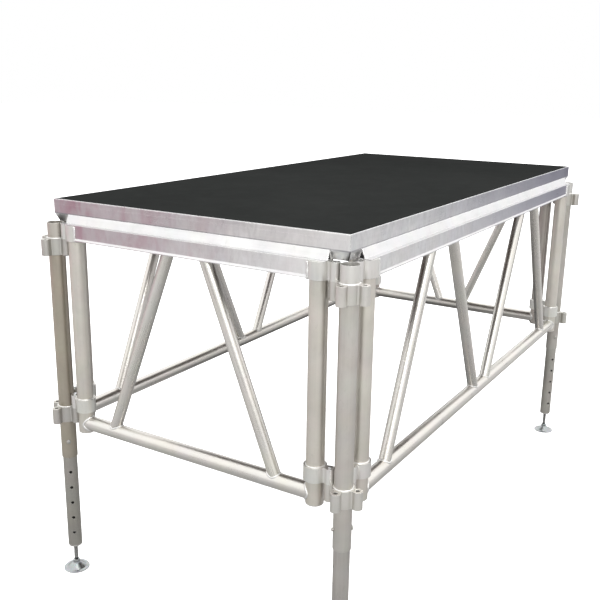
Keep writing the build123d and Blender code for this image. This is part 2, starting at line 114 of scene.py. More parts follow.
# ================================================================ shader helpers
class Nodes:
    """Strings shader nodes together in one node tree."""

    def __init__(self, tree):
        self.tree = tree
        tree.nodes.clear()

    def node(self, kind, *values, named=None, **settings):
        """Adds a node; values fill its inputs in order, named fills them by name."""
        node = self.tree.nodes.new("ShaderNode" + kind)
        for key, value in settings.items():
            setattr(node, key, value)
        for socket, value in zip(node.inputs, values):
            self.put(socket, value)
        for key, value in (named or {}).items():
            self.put(node.inputs[key], value)
        return node

    def put(self, socket, value):
        if hasattr(value, "is_output"):
            self.tree.links.new(value, socket)
        elif isinstance(value, tuple) and len(value) == 3 and len(socket.default_value) == 4:
            socket.default_value = (*value, 1.0)
        else:
            socket.default_value = value

    def math(self, operation, a, b=0.0, clamp=False):
        return self.node("Math", a, b, operation=operation, use_clamp=clamp).outputs[0]

    def times(self, value, by):
        return self.math("MULTIPLY", value, by)

    def plus(self, a, b, amount=None, clamp=False):
        b = b if amount is None else self.times(b, by=amount)
        return self.math("ADD", a, b, clamp)

    def minus(self, a, b, amount=None, clamp=False):
        b = b if amount is None else self.times(b, by=amount)
        return self.math("SUBTRACT", a, b, clamp)

    def vary(self, middle, noise_value, amount, clamp=False):
        """Swings a value about its middle with a noise centred on 0.5."""
        return self.plus(middle, self.minus(noise_value, 0.5), amount, clamp)

    def fade(self, value, over, to=(0.0, 1.0)):
        """Maps the range `over` on to the range `to`, held at both ends."""
        return self.node("MapRange", value, *over, *to, clamp=True).outputs[0]

    def split(self, vector):
        return self.node("SeparateXYZ", vector).outputs

    def join(self, x, y, z):
        return self.node("CombineXYZ", x, y, z).outputs[0]

    def vector_math(self, operation, a, b, output="Vector"):
        return self.node("VectorMath", a, b, operation=operation).outputs[output]

    def scaled(self, vector, by):
        return self.vector_math("MULTIPLY", vector, by)

    def normal(self):
        return self.node("NewGeometry").outputs["Normal"]

    def noise(self, vector, scale, detail, rough, distort=0.0, output="Fac"):
        return self.node("TexNoise", named={
            "Vector": vector, "Scale": scale, "Detail": detail,
            "Roughness": rough, "Distortion": distort}).outputs[output]

    def voronoi(self, vector, scale, feature, output):
        inputs = {"Vector": vector, "Scale": scale}
        return self.node("TexVoronoi", named=inputs, feature=feature).outputs[output]

    def ramp(self, value, stops):
        """Grey ramp; stops are (position, brightness)."""
        node = self.node("ValToRGB", value)
        elements = node.color_ramp.elements
        while len(elements) > 1:
            elements.remove(elements[-1])
        for i, (position, grey) in enumerate(stops):
            element = elements[0] if i == 0 else elements.new(position)
            element.position = position
            element.color = (grey, grey, grey, 1.0)
        return node.outputs[0]

    def mix(self, mask, under, over, amount=None, mode="MIX"):
        """Lays colour `over` on colour `under` where mask, times amount, is 1."""
        mask = mask if amount is None else self.times(mask, by=amount)
        node = self.node("Mix", data_type="RGBA", blend_type=mode, clamp_factor=True)
        self.put(node.inputs["Factor"], mask)
        for name, colour in (("A", under), ("B", over)):
            self.put([s for s in node.inputs if s.name == name and s.type == "RGBA"][0], colour)
        return [s for s in node.outputs if s.type == "RGBA"][0]

    def bump(self, height, strength, distance, normal=None):
        inputs = {"Strength": strength, "Distance": distance, "Height": height}
        if normal is not None:
            inputs["Normal"] = normal
        return self.node("Bump", named=inputs).outputs[0]

    def soft_edge(self, radius):
        return self.node("Bevel", named={"Radius": radius}, samples=4).outputs[0]

    def wear(self, radius):
        """1 on edges, 0 on flats: compares the bevelled normal with the true one."""
        likeness = self.vector_math("DOT_PRODUCT", self.soft_edge(radius), self.normal(), "Value")
        return self.fade(likeness, over=(0.995, 0.86))

    def camera_switch(self, hidden, seen, out):
        """Shows the camera one shader and every other ray another."""
        is_camera = self.node("LightPath").outputs["Is Camera Ray"]
        switch = self.node("MixShader", is_camera, hidden, seen)
        self.put(out.inputs[0], switch.outputs[0])


class Surface(Nodes):
    """A material with a Principled shader and object coordinates."""

    def __init__(self, name):
        self.mat = bpy.data.materials.new(name)
        self.mat.use_nodes = True
        super().__init__(self.mat.node_tree)
        self.bsdf = self.node("BsdfPrincipled")
        self.out = self.node("OutputMaterial", self.bsdf.outputs[0])
        self.coord = self.node("TexCoord").outputs["Object"]

    def set(self, **inputs):
        for key, value in inputs.items():
            self.put(self.bsdf.inputs[key.replace("_", " ")], value)


def shade(colour, *factors):
    """Scales a colour by one factor, or by one for each channel."""
    return tuple(c * factor for c, factor in zip(colour, factors * 3))


# ================================================================ aluminium
GRAIN_SQUEEZE = 0.02                # scale along the piece that turns noise into streaks
HUE_SPREAD = 0.08                   # strength of the coloured mottling


def grain_coords(g, way, lean):
    """Coordinates squeezed along the piece, and the same ones unsqueezed.

    lean is None, or (gaps, slopes) for tubes that slope along `way` as they rise."""
    if lean is None:
        squeeze = tuple(GRAIN_SQUEEZE if axis == way else 1 for axis in "xyz")
        return g.scaled(g.coord, by=squeeze), g.coord
    x, y, z = g.split(g.coord)
    along, other = (x, y) if way == "x" else (y, x)
    gaps, slopes = lean
    slope = slopes[0]
    for gap, next_slope in zip(gaps, slopes[1:]):
        past = g.math("GREATER_THAN", along, gap)
        slope = g.plus(g.times(g.minus(1.0, past), slope), g.times(past, next_slope))
    across = g.minus(along, g.times(slope, g.minus(z, BRACE_FOOT_Z)))
    return g.join(across, other, g.times(z, by=GRAIN_SQUEEZE)), g.join(across, other, z)


def side_marks(g, colour, vec, base, way, strokes, pink, blue=0.0, polish=0.0):
    """Marks and painted light, shade and reflections on upright faces; sloping and top faces stay
    clean and bright.

    strokes, pink and blue are the strengths of the strokes, pink blotches and painted blue far
    shade; the last argument, of the painted front light."""
    steepness = g.math("ABSOLUTE", g.split(g.normal())[2])
    upright = g.fade(steepness, over=(0.12, 0.3), to=(1.0, 0.0))

    # short strokes across the profile, and broader dull patches
    stroke = g.noise(g.scaled(vec, by=(1, 1, 0.4)), scale=48.0, detail=5.0, rough=0.72, distort=0.5)
    stroke = g.fade(stroke, over=(0.40, 0.68), to=(0.0, strokes))
    colour = g.mix(g.times(upright, stroke), colour, shade(base, 0.66))
    patch = g.noise(vec, scale=5.5, detail=3.0, rough=0.6, distort=0.5)
    patch = g.fade(patch, over=(0.5, 0.7), to=(0.0, strokes * 0.6))
    colour = g.mix(g.times(upright, patch), colour, shade(base, 0.74))

    if blue:
        # painted shade and painted bluish reflection: darker and bluer towards the right
        far = g.fade(g.split(g.coord)[0], over=(-0.7, 0.95), to=(0.0, blue))
        mask = g.times(far, g.fade(upright, over=(0.0, 1.0), to=(0.12, 1.0)))
        colour = g.mix(mask, colour, shade(base, 0.60, 0.60, 0.70))

    # painted shade and painted pink reflection: darker and pinker towards the back
    far = g.fade(g.split(g.coord)[1], over=(-0.2, 0.6), to=(0.0, 0.8))
    mask = g.times(far, g.fade(upright, over=(0.0, 1.0), to=(0.1, 1.0)))
    colour = g.mix(mask, colour, shade(base, 0.72, 0.63, 0.67))
    # blotches of blush: partly random pink tint, partly painted reflection of pink surroundings
    blush = g.noise(g.scaled(vec, by=(1, 1, 0.5)), scale=16.0, detail=3.0, rough=0.6, distort=0.6)
    away = 1.0
    if way == "y":
        away = g.fade(g.split(g.coord)[1], over=(-0.25, 0.55), to=(0.04, 1.0))
    blush = g.times(g.times(upright, away), g.fade(blush, over=(0.42, 0.64), to=(0.0, pink)))
    colour = g.mix(blush, colour, shade(base, 0.70, 0.48, 0.55))

    if polish:
        # painted light: brighter towards the front
        lit = g.fade(g.split(g.coord)[1], over=(-0.62, -0.22), to=(polish, 0.0))
        colour = g.mix(g.times(upright, lit), colour, (0.88, 0.88, 0.86))
    return colour


def aluminium(name, way, base, rough, seed, lean=None, streak=0.5, mottle=0.5, edge=0.0012,
              dirt=0.35, top_lightening=0.0, seam=0.0, **marks):
    """Mill-finish aluminium: drawn lengthwise, mottled, scratched, smudged, rubbed at edges, with
    painted highlights.

    way: axis the piece was drawn along.  edge: radius of the rubbed edges, which also carry a
    painted highlight.
    The top-lightening strength adds brightness above the leg collars.  seam: height of a painted
    shadow line at a joint."""
    g = Surface("alu_" + name)
    long_vec, vec = grain_coords(g, way, lean)
    offset = Vector((seed * 3.1, seed * 1.7, seed * 2.3))
    long_vec = g.vector_math("ADD", long_vec, offset)
    fine = g.noise(long_vec, scale=900.0, detail=3.0, rough=0.6)
    coarse = g.noise(long_vec, scale=140.0, detail=2.0, rough=0.55)
    cloud = g.noise(vec, scale=7.0, detail=4.0, rough=0.6, distort=0.4)
    blot = g.noise(vec, scale=26.0, detail=3.0, rough=0.65)
    hue = g.noise(vec, scale=11.0, detail=2.0, rough=0.5, output="Color")
    smear = g.noise(g.scaled(vec, by=(1, 1, 0.35)), scale=60.0, detail=4.0, rough=0.7, distort=1.2)
    scratch = g.voronoi(g.scaled(long_vec, by=(1, 1, 1)), scale=260.0,
                        feature="DISTANCE_TO_EDGE", output="Distance")
    pits = g.noise(g.scaled(vec, by=(1.0, 1.0, 0.6)), scale=420.0, detail=1.0, rough=0.4)
    nick = g.math("LESS_THAN", pits, 0.27)

    streaks = g.fade(coarse, over=(0.3, 0.7), to=(0.0, streak))
    colour = g.mix(streaks, base, shade(base, 0.86))
    clouds = g.fade(cloud, over=(0.32, 0.68), to=(0.0, mottle))
    colour = g.mix(clouds, colour, shade(base, 1.14))
    tint = g.mix(HUE_SPREAD, (1, 1, 1), hue)
    colour = g.mix(1.0, colour, tint, mode="MULTIPLY")
    # make up for the light the tint takes away
    lift = 1.0 / (1.0 - 0.5 * HUE_SPREAD)
    colour = g.mix(1.0, colour, (lift, lift, lift), mode="MULTIPLY")
    if marks:
        colour = side_marks(g, colour, vec, base, way, **marks)
    if top_lightening:
        # lighter above the leg collars
        end = g.fade(g.split(g.coord)[2], over=(1.362, 1.372), to=(0.0, top_lightening))
        colour = g.mix(end, colour, (0.70, 0.69, 0.66))
    grime = g.times(g.fade(smear, over=(0.55, 0.8)), g.fade(blot, over=(0.45, 0.7)))
    colour = g.mix(grime, colour, (0.27, 0.255, 0.235), amount=dirt)
    # edge wear, and on rails and rims with broad edges a painted edge highlight: edges mixed
    # towards pale metal
    wear_and_highlight = g.wear(edge)
    colour = g.mix(wear_and_highlight, colour, (0.86, 0.86, 0.85), amount=0.55)
    # painted shadow: a dark line along the joint between rim and fin
    if seam:
        distance = g.math("ABSOLUTE", g.minus(g.split(g.coord)[2], seam))
        line = g.fade(distance, over=(0.0006, 0.0034), to=(0.75, 0.0))
        line = g.times(line, g.fade(blot, over=(0.25, 0.6), to=(0.6, 1.0)))
        colour = g.mix(line, colour, (0.20, 0.195, 0.22))

    rough = g.vary(rough, cloud, amount=0.22)
    rough = g.vary(rough, fine, amount=0.16)
    rough = g.plus(rough, grime, amount=0.25)
    rough = g.minus(rough, wear_and_highlight, amount=0.08, clamp=True)

    height = g.plus(g.times(fine, by=0.5), coarse, amount=0.6)
    height = g.plus(height, g.fade(scratch, over=(0.0, 0.03)), amount=0.25)
    height = g.minus(height, nick, amount=0.8)
    normal = g.bump(height, strength=0.28, distance=0.00035, normal=g.soft_edge(edge))
    g.set(Base_Color=colour, Metallic=0.93, Roughness=rough, Normal=normal)
    return g.mat


# ================================================================ other materials
def zinc(name, base=(0.55, 0.56, 0.57), rough=0.24, dark=0.4, scale=1.0):
    """Zinc plate: flaky clouding, some dulling and rubbed edges.

    dark: strength of the grime.  scale: fineness of the pattern."""
    g = Surface(name)
    flake = g.voronoi(g.coord, scale=240.0 * scale, feature="F1", output="Color")
    cloud = g.noise(g.coord, scale=60.0 * scale, detail=4.0, rough=0.6, distort=0.3)
    fine = g.noise(g.coord, scale=1500.0, detail=2.0, rough=0.5)
    grime = g.noise(g.coord, scale=95.0 * scale, detail=4.0, rough=0.7, distort=0.8)
    grime = g.fade(grime, over=(0.5, 0.78))
    colour = g.mix(0.10, base, flake, mode="OVERLAY")
    clouds = g.fade(cloud, over=(0.35, 0.7), to=(0.0, 0.6))
    colour = g.mix(clouds, colour, shade(base, 0.78))
    colour = g.mix(grime, colour, (0.16, 0.155, 0.15), amount=dark)
    colour = g.mix(g.wear(0.0008), colour, (0.85, 0.85, 0.85), amount=0.5)
    rough = g.vary(rough, cloud, amount=0.2)
    rough = g.plus(rough, grime, amount=0.25, clamp=True)
    height = g.plus(fine, cloud, amount=2.0)
    normal = g.bump(height, strength=0.2, distance=0.0003, normal=g.soft_edge(0.0006))
    g.set(Base_Color=colour, Metallic=0.95, Roughness=rough, Normal=normal)
    return g.mat


def thread_steel(name):
    """Darker, greasy screw thread with bright crests."""
    g = Surface(name)
    cloud = g.noise(g.coord, scale=130.0, detail=3.0, rough=0.6)
    fine = g.noise(g.scaled(g.coord, by=(1, 1, 12)), scale=700.0, detail=2.0, rough=0.6)
    grease = g.noise(g.coord, scale=55.0, detail=4.0, rough=0.7, distort=0.6)
    grease = g.fade(grease, over=(0.42, 0.7))
    clouds = g.fade(cloud, over=(0.3, 0.7))
    colour = g.mix(clouds, (0.30, 0.30, 0.295), (0.21, 0.205, 0.2))
    colour = g.mix(grease, colour, (0.09, 0.085, 0.08), amount=0.5)
    colour = g.mix(g.wear(0.0006), colour, (0.62, 0.62, 0.6), amount=0.7)
    rough = g.vary(0.34, cloud, amount=0.3, clamp=True)
    normal = g.bump(fine, strength=0.25, distance=0.0002)
    g.set(Base_Color=colour, Metallic=0.9, Roughness=rough, Normal=normal)
    return g.mat


def weld_metal(name):
    """Bright bead metal with sooty patches."""
    g = Surface(name)
    cloud = g.noise(g.coord, scale=180.0, detail=4.0, rough=0.65)
    fine = g.noise(g.coord, scale=1400.0, detail=3.0, rough=0.6)
    soot = g.noise(g.coord, scale=70.0, detail=3.0, rough=0.6)
    soot = g.fade(soot, over=(0.55, 0.8), to=(0.0, 0.5))
    clouds = g.fade(cloud, over=(0.3, 0.7))
    colour = g.mix(clouds, (0.78, 0.78, 0.77), (0.62, 0.61, 0.59))
    colour = g.mix(soot, colour, (0.30, 0.285, 0.27))
    rough = g.vary(0.34, cloud, amount=0.35, clamp=True)
    normal = g.bump(g.plus(fine, cloud), strength=0.35, distance=0.0004)
    g.set(Base_Color=colour, Metallic=0.9, Roughness=rough, Normal=normal)
    return g.mat


FILM_DEPTH = 0.0006                 # how far below the deck's top the film reaches
MESH_PITCH = 0.0042                 # spacing of the film's ridges
PLY_PITCH = 0.0033                  # one light and one dark ply


def deck_surface(name):
    """Dark film with a raised mesh on top, bare ply on the edges, brown board below."""
    g = Surface(name)
    under = g.math("LESS_THAN", g.split(g.normal())[2], -0.5)
    x, y, z = g.split(g.coord)
    top = g.times(g.math("GREATER_THAN", z, DECK_TOP - FILM_DEPTH), 1.0)

    # two crossed diagonal sets of ridges
    ridge_rate = 0.7071 / MESH_PITCH * 2 * math.pi
    rising = g.times(g.plus(x, y), by=ridge_rate)
    falling = g.times(g.minus(x, y), by=ridge_rate)
    mesh = g.math("MAXIMUM", g.math("SINE", rising), g.math("SINE", falling))
    mesh = g.fade(mesh, over=(0.35, 0.95))

    cloud = g.noise(g.coord, scale=2.2, detail=4.0, rough=0.6, distort=0.3)
    dust = g.noise(g.coord, scale=16.0, detail=5.0, rough=0.7, distort=0.5)
    fine = g.noise(g.coord, scale=1100.0, detail=2.0, rough=0.6)
    scuff_y = g.noise(g.scaled(g.coord, by=(1, 0.06, 1)), scale=60.0, detail=4.0, rough=0.75,
                      distort=0.8)
    scuff_x = g.noise(g.scaled(g.coord, by=(0.05, 1, 1)), scale=45.0, detail=4.0, rough=0.75,
                      distort=0.6)
    scuff = g.math("MAXIMUM", g.fade(scuff_y, over=(0.69, 0.78)),
                   g.fade(scuff_x, over=(0.7, 0.8)))
    clouds = g.fade(cloud, over=(0.3, 0.7))
    film = g.mix(clouds, (0.0150, 0.0158, 0.0154), (0.0185, 0.0194, 0.0189))
    film = g.mix(g.fade(dust, over=(0.45, 0.75)), film, (0.030, 0.032, 0.031), amount=0.16)
    film = g.mix(scuff, film, (0.07, 0.07, 0.067), amount=0.10)
    film = g.mix(mesh, film, (0.024, 0.026, 0.025), amount=0.10)

    ply = g.math("SINE", g.times(z, by=2 * math.pi / PLY_PITCH))
    ring = g.noise(g.scaled(g.coord, by=(1, 1, 8)), scale=60.0, detail=3.0, rough=0.6)
    edge = g.mix(g.fade(ply, over=(-0.3, 0.3)), (0.50, 0.36, 0.22), (0.30, 0.19, 0.11))
    edge = g.mix(ring, edge, (0.2, 0.13, 0.08), amount=0.35)

    board = g.noise(g.scaled(g.coord, by=(0.08, 1, 1)), scale=40.0, detail=4.0, rough=0.65,
                    distort=1.0)
    low = g.mix(g.fade(board, over=(0.35, 0.65)), (0.115, 0.058, 0.032), (0.075, 0.036, 0.02))
    colour = g.mix(top, g.mix(under, edge, low), film)

    rough = g.vary(0.62, dust, amount=0.25)
    rough = g.minus(rough, mesh, amount=0.06, clamp=True)
    height = g.times(g.plus(mesh, fine, amount=0.35), top)
    height = g.plus(height, board, amount=0.3)
    normal = g.bump(height, strength=0.35, distance=0.0004)
    g.set(Base_Color=colour, Roughness=rough, Normal=normal, Specular_IOR_Level=0.0)
    return g.mat


# ================================================================ materials on the CAD pieces
RAIL_BASE = (0.62, 0.615, 0.615)
TUBE_BASE = (0.60, 0.58, 0.545)
BRACKET_BASE = (0.66, 0.65, 0.62)
UPRIGHT_BASE = (0.58, 0.552, 0.50)
# darker uprights on the right and back frames, farther from the light: partly duller metal, partly
# painted shade
DULL_AND_SHADED_UPRIGHTS = {"right": (0.44, 0.405, 0.375), "back": (0.50, 0.472, 0.43)}
NUT_BASE = (0.53, 0.515, 0.49)
# outer tube, collars, inner tube
LEG_BASES = ((0.51, 0.488, 0.452), (0.58, 0.565, 0.53), (0.48, 0.46, 0.43))
# darker legs at the back left and front right: partly duller metal, partly painted shade
DULL_AND_SHADED_LEGS = {
    "bl": ((0.37, 0.332, 0.275), (0.46, 0.445, 0.415), (0.37, 0.355, 0.325)),
    "fr": ((0.44, 0.42, 0.385), (0.50, 0.485, 0.45), (0.43, 0.41, 0.375)),
}
# tints of the rails and rims that run along each axis, partly painted light:
# pink sets blotches that are partly painted reflection; blue sets a painted darker, bluer far end
SIDE_CASTS_AND_SHADE = {"x": dict(pink=0.04, blue=0.9), "y": dict(pink=0.95)}
# strength of the painted light that brightens the front of the rails, by the axis they run along
FRONT_PAINTED_LIGHT = {"x": 0.0, "y": 0.9}


def use(node, mat):
    piece = NODES[node]
    if not piece.material_slots:
        piece.data.materials.append(mat)
    for material_slot in piece.material_slots:
        material_slot.material = mat


def dress_frame(i, name):
    way, braces, gaps = FRAMES[name][3:]
    slopes = [(head - foot) / BRACE_GRAIN_RISE for foot, head in braces]
    part = name + "_frame_"
    use(part + "top_rail", aluminium(
        "rail_" + name, way, RAIL_BASE, rough=0.33, seed=i, mottle=0.9, streak=0.7, edge=0.003,
        strokes=0.4, polish=FRONT_PAINTED_LIGHT[way], **SIDE_CASTS_AND_SHADE[way]))
    use(part + "bottom_chord", aluminium("chord_" + name, way, TUBE_BASE, rough=0.31, seed=i + 4))
    use(part + "uprights", aluminium(
        "uprights_" + name, "z", DULL_AND_SHADED_UPRIGHTS.get(name, UPRIGHT_BASE), rough=0.40, seed=i + 8,
        mottle=0.7))
    use(part + "braces", aluminium(
        "braces_" + name, way, TUBE_BASE, rough=0.28, seed=i + 12, lean=(gaps, slopes)))
    use(part + "brackets", aluminium(
        "brackets_" + name, "z", BRACKET_BASE, rough=0.36, seed=i + 16, mottle=0.7))


def dress_leg_tubes(i, leg):
    outer, collars, inner = DULL_AND_SHADED_LEGS.get(leg, LEG_BASES)
    part = "leg_" + leg + "_"
    use(part + "outer_tube", aluminium(
        "outer_" + leg, "z", outer, rough=0.41, seed=22 + i, mottle=0.8,
        top_lightening=0.35 if leg == "bl" else 0.8))
    use(part + "collars", aluminium(
        "collars_" + leg, "z", collars, rough=0.40, seed=26 + i, mottle=0.7))
    use(part + "inner_tube", aluminium(
        "inner_" + leg, "z", inner, rough=0.42, seed=30 + i, mottle=0.7, streak=0.8, dirt=0.5))


def dress_fittings():
    pins = zinc("zinc_pins")
    lock_pins = zinc("zinc_lock_pins", base=(0.44, 0.43, 0.405), rough=0.40, dark=0.6)
    feet = zinc("zinc_foot", base=(0.36, 0.375, 0.38), rough=0.29, dark=0.22, scale=0.8)
    balls = zinc("steel_ball", base=(0.42, 0.42, 0.43), rough=0.2, dark=0.6, scale=1.6)
    for leg in LEGS:
        part = "leg_" + leg + "_"
        use(part + "lock_pin", lock_pins)
        use(part + "jack_nut", aluminium("nut_" + leg, "z", NUT_BASE, rough=0.40, seed=40))
        use(part + "swivel_barrel", balls)
        use(part + "foot_plate", feet)
    use("frame_spigot_pins", pins)
    use("deck_panel_screws", pins)


def dress_deck():
    use("deck_panel", deck_surface("deck_film"))
    rim = dict(rough=0.32, mottle=1.0, streak=0.9, strokes=0.45, seam=RIM_SEAM_Z)
    use("deck_long_rims", aluminium(
        "rim_long", "x", RAIL_BASE, seed=50, edge=0.004, **rim, **SIDE_CASTS_AND_SHADE["x"]))
    use("deck_short_rims", aluminium(
        "rim_short", "y", RAIL_BASE, seed=51, edge=0.006, polish=0.55, **rim, **SIDE_CASTS_AND_SHADE["y"]))
    use("deck_cross_members", aluminium("cross", "y", RAIL_BASE, rough=0.36, seed=52))
    use("deck_corner_angles", aluminium("angles", "z", RAIL_BASE, rough=0.38, seed=53))


for i, name in enumerate(FRAMES):
    dress_frame(i, name)
use("upright_end_caps", aluminium("caps", "z", TUBE_BASE, rough=0.42, seed=21))
for i, leg in enumerate(LEGS):
    dress_leg_tubes(i, leg)
dress_fittings()
dress_deck()
weld_mat = weld_metal("weld_bead")
thread_mat = thread_steel("screw_thread")


# ================================================================ weld beads
BEAD_STEP = 0.00085                 # spacing of sections along a bead
BEAD_SIDES = 8
RIPPLE_PITCH = 0.0034
RIPPLE_LAG = 0.30                   # how far each crescent ripple trails at its flanks
BEAD_WIDEN = 1.12                   # width of a section over its height
BRACE_FOOT_BEAD, BRACE_TOP_BEAD = 0.0034, 0.0030
CHORD_BEAD, RAIL_BEAD = 0.0040, 0.0048
BRACKET_BEAD, COLLAR_BEAD = 0.0027, 0.0028
RAIL_BEAD_DROP = 0.002              # the rail bead ends this far below the bracket's top
RAIL_BEAD_RUNS = 13                 # steps in each upright stretch of the rail bead
RAIL_BEAD_ARC = 24                  # steps under the rail


def make_object(name, verts, faces, mat, body, slot):
    mesh = bpy.data.meshes.new(name)
    mesh.from_pydata(verts, [], faces)
    mesh.validate()
    mesh.update()
    mesh.polygons.foreach_set("use_smooth", [True] * len(mesh.polygons))
    mesh.materials.append(mat)
    piece = bpy.data.objects.new(name, mesh)
    COLLECTION.objects.link(piece)
    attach(piece, body)
    return piece


def angles(count):
    return [2 * math.pi * i / count for i in range(count)]


def resample(points, closed):
    """Evenly spaced points along a path, and the path's length."""
    points = [Vector(p) for p in points]
    if closed:
        points.append(points[0].copy())
    reached = [0.0]
    for start, end in zip(points, points[1:]):
        reached.append(reached[-1] + (end - start).length)
    total = reached[-1]
    count = max(6, int(round(total / BEAD_STEP)))
    even, j = [], 0
    for i in range(count if closed else count + 1):
        along = total * i / count
        while j < len(reached) - 2 and reached[j + 1] < along:
            j += 1
        part = (along - reached[j]) / max(1e-9, reached[j + 1] - reached[j])
        even.append(points[j].lerp(points[j + 1], part))
    return even, total


def bead(store, path, radius, crown, closed=True, seed=0):
    """Sweeps a rippled round section along a path; crown(p) is the way it faces at p."""
    verts, faces = store
    points, total = resample(path, closed)
    count = len(points)
    waves = max(1, round(total / RIPPLE_PITCH)) if closed else total / RIPPLE_PITCH
    base = len(verts)
    for i, p in enumerate(points):
        before = points[i - 1] if closed or i > 0 else p
        after = points[(i + 1) % count] if closed or i < count - 1 else p
        tangent = (after - before).normalized()
        up = crown(p)
        up = (up - tangent * up.dot(tangent)).normalized()
        side = tangent.cross(up)
        wobble = noise.noise(Vector((p.x * 60 + seed, p.y * 60, p.z * 60)))
        taper = 1.0
        if not closed:
            to_end = min(i, count - 1 - i) / (count - 1)
            taper = min(1.0, 0.35 + 2.5 * to_end * (total / 0.01))
        for angle in angles(BEAD_SIDES):
            phase = (i / count * waves + RIPPLE_LAG * (1 - math.cos(angle)) * 0.5) % 1.0
            ripple = 0.84 + 0.20 * math.sqrt(1 - phase * phase)
            r = radius * ripple * (1 + 0.16 * wobble) * taper
            verts.append(p + up * (math.cos(angle) * r)
                         + side * (math.sin(angle) * r * BEAD_WIDEN))
    for i in range(count if closed else count - 1):
        here = base + i * BEAD_SIDES
        ahead = base + ((i + 1) % count) * BEAD_SIDES
        for k in range(BEAD_SIDES):
            k2 = (k + 1) % BEAD_SIDES
            faces.append((here + k, here + k2, ahead + k2, ahead + k))
    if not closed:
        last = base + (count - 1) * BEAD_SIDES
        faces.append(tuple(base + k for k in reversed(range(BEAD_SIDES))))
        faces.append(tuple(last + k for k in range(BEAD_SIDES)))


def level_ring(x, y, z, r):
    return [Vector((x + r * math.cos(a), y + r * math.sin(a), z)) for a in angles(96)]


def facing_out(x, y, up):
    """Crown direction of a level ring: away from its axis, and up (1) or down (-1)."""
    return lambda p: Vector((p.x - x, p.y - y, 0)).normalized() + Vector((0, 0, up))


# The next four work in a frame's own space: X along the frame, Y across it.
def brace_beads(add, i, foot, head):
    """Where a brace meets the bottom chord, and where it meets the rail."""
    lean = (head - foot) / (RAIL_BOTTOM - BRACE_FOOT_Z)
    crossing = Vector((foot + lean * (CHORD_Z - BRACE_FOOT_Z), 0, CHORD_Z))
    axis = Vector((lean, 0, 1)).normalized()
    square = Vector((axis.z, 0, -axis.x))
    low_ring, top_ring = [], []
    for a in angles(72):
        off = square * (BRACE_R * math.cos(a)) + Vector((0, BRACE_R * math.sin(a), 0))
        rise = math.sqrt(max(0.0, CHORD_R ** 2 - off.y ** 2))
        low_ring.append(crossing + off + axis * ((rise - off.z) / axis.z))
        top_ring.append(crossing + off + axis * ((RAIL_BOTTOM - CHORD_Z - off.z) / axis.z))

    def from_brace(p):
        on_axis = crossing + axis * ((p - crossing).dot(axis))
        return (p - on_axis).normalized()

    def low_crown(p):
        return from_brace(p) + Vector((0, p.y, p.z - CHORD_Z)).normalized()

    def top_crown(p):
        return from_brace(p) + Vector((0, 0, -1))

    add(low_ring, BRACE_FOOT_BEAD, low_crown, seed=i)
    add(top_ring, BRACE_TOP_BEAD, top_crown, seed=i + 9)


def chord_end_bead(add, upright_x, end):
    """Where the bottom chord meets an upright."""
    ring = []
    for a in angles(96):
        y, z = CHORD_R * math.cos(a), CHORD_R * math.sin(a)
        inset = math.sqrt(max(0.0, UPRIGHT_R ** 2 - y * y))
        ring.append((upright_x - end * inset, y, CHORD_Z + z))

    def crown(p):
        from_chord = Vector((0, p.y, p.z - CHORD_Z)).normalized()
        return Vector((-end * 0.7, 0, 0)) + from_chord + Vector((0, p.y, 0)) * 8

    add(ring, CHORD_BEAD, crown, seed=31 + end)


def bracket_beads(add, upright_x):
    """Rings around an upright at the edges of its brackets."""
    for z, up in ((LOW_BRACKET_TOP, 1), (BRACKET_BOTTOM, -1), (HIGH_BRACKET_BOTTOM, -1)):
        add(level_ring(upright_x, 0, z, UPRIGHT_R), BRACKET_BEAD, facing_out(upright_x, 0, up),
            seed=z * 100)


def rail_bead(add, upright_x, end):
    """Rail to bracket: down the +Y side, across underneath, up the -Y side."""
    reach = math.sqrt(BRACKET_R ** 2 - RAIL_HALF ** 2)
    side_x = upright_x - end * reach
    top = BRACKET_TOP - RAIL_BEAD_DROP
    rises = [(top - RAIL_BOTTOM) * i / RAIL_BEAD_RUNS for i in range(RAIL_BEAD_RUNS + 1)]
    first = math.atan2(RAIL_HALF, -end * reach)
    last = math.atan2(-RAIL_HALF, -end * reach)
    if end > 0:
        last += 2 * math.pi
    path = [(side_x, RAIL_HALF, top - rise) for rise in rises]
    for i in range(1, RAIL_BEAD_ARC):
        a = first + (last - first) * i / RAIL_BEAD_ARC
        path.append((upright_x + BRACKET_R * math.cos(a), BRACKET_R * math.sin(a), RAIL_BOTTOM))
    path += [(side_x, -RAIL_HALF, RAIL_BOTTOM + rise) for rise in rises]

    def crown(p):
        way = Vector((-end * 0.3, 0, 0))
        if abs(abs(p.y) - RAIL_HALF) < 0.002:
            way += Vector((0, 1 if p.y > 0 else -1, 0))
        if p.z < RAIL_BOTTOM + 0.004:
            way += Vector((0, 0, -1))
        return way

    add(path, RAIL_BEAD, crown, closed=False, seed=71 + end)


def frame_beads(name):
    centre, turn, half_length, _, braces, _ = FRAMES[name]
    to_world = Matrix.Rotation(turn, 3, "Z")
    to_local = to_world.transposed()
    store = ([], [])

    def add(path, radius, crown, **options):
        world_path = [centre + to_world @ Vector(p) for p in path]
        bead(store, world_path, radius,
             lambda p: to_world @ crown(to_local @ (p - centre)), **options)

    for i, (foot, head) in enumerate(braces):
        brace_beads(add, i, foot, head)
    for end in (-1, 1):
        upright_x = end * (half_length - UPRIGHT_INSET)
        chord_end_bead(add, upright_x, end)
        bracket_beads(add, upright_x)
        rail_bead(add, upright_x, end)
    make_object("weld_beads_" + name + "_frame", *store, weld_mat, "root", "frame_tube")


